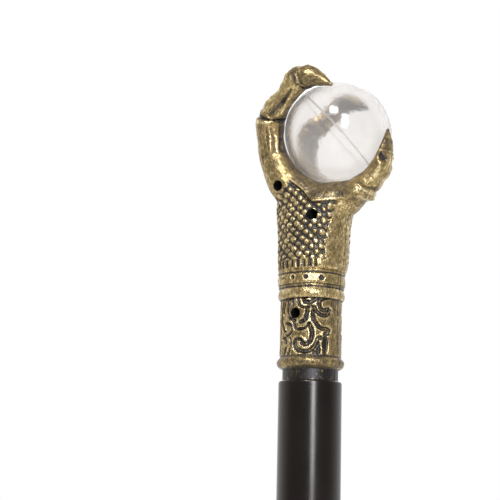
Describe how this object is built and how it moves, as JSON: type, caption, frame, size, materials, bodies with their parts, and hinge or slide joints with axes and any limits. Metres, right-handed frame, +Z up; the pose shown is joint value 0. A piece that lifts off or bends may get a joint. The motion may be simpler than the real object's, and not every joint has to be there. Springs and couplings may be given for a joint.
{
  "type": "claw and ball walking stick",
  "caption": "Walking stick with a straight black tube, a rubber ferrule and an antique gold handle whose three talons grip a clear ball.",
  "frame": {"origin": "middle of the flat disc in the ferrule's sole, where the stick meets the floor", "axes": "+Z up the stick, +X towards the short talon, and Y across the handle's parting plane with the screw heads on -Y"},
  "size_m": [0.0479, 0.0412, 0.8903],
  "materials": {
    "antique_gold": "antique gold over black, rubbed back",
    "clear_acrylic": "clear, polished",
    "black_tube": "satin black",
    "black_rubber": "satin",
    "turned_brass": "turned",
    "screw_steel": "zinc plated"
  },
  "bodies": {
    "shaft_upper": {"shaft_upper_tube": "black_tube", "joint_socket": "turned_brass"},
    "handle": {"handle_front_shell": "antique_gold", "handle_back_shell": "antique_gold", "handle_screw_lower": "screw_steel", "handle_screw_middle": "screw_steel", "handle_screw_upper": "screw_steel"},
    "ball": {"ball_upper_half": "clear_acrylic", "ball_lower_half": "clear_acrylic"},
    "shaft_lower": {"shaft_lower_tube": "black_tube", "joint_stud": "turned_brass"},
    "ferrule": {"ferrule": "black_rubber", "ferrule_washer": "screw_steel"}
  },
  "joints": [
    {"name": "handle_pull", "type": "slide", "parent": "shaft_upper", "child": "handle", "axis": [0, 0, 1], "range_m": [-0.0039, 0.03]},
    {"name": "ball_turn", "type": "hinge", "parent": "handle", "child": "ball", "pos_m": [0.0101, 0, 0.8686], "axis": [0, 0, 1], "continuous": true},
    {"name": "section_joint", "type": "slide", "parent": "shaft_upper", "child": "shaft_lower", "axis": [0, 0, -1], "range_m": [0, 0.02]},
    {"name": "ferrule_pull", "type": "slide", "parent": "shaft_lower", "child": "ferrule", "axis": [0, 0, -1], "range_m": [0, 0.026]}
  ]
}
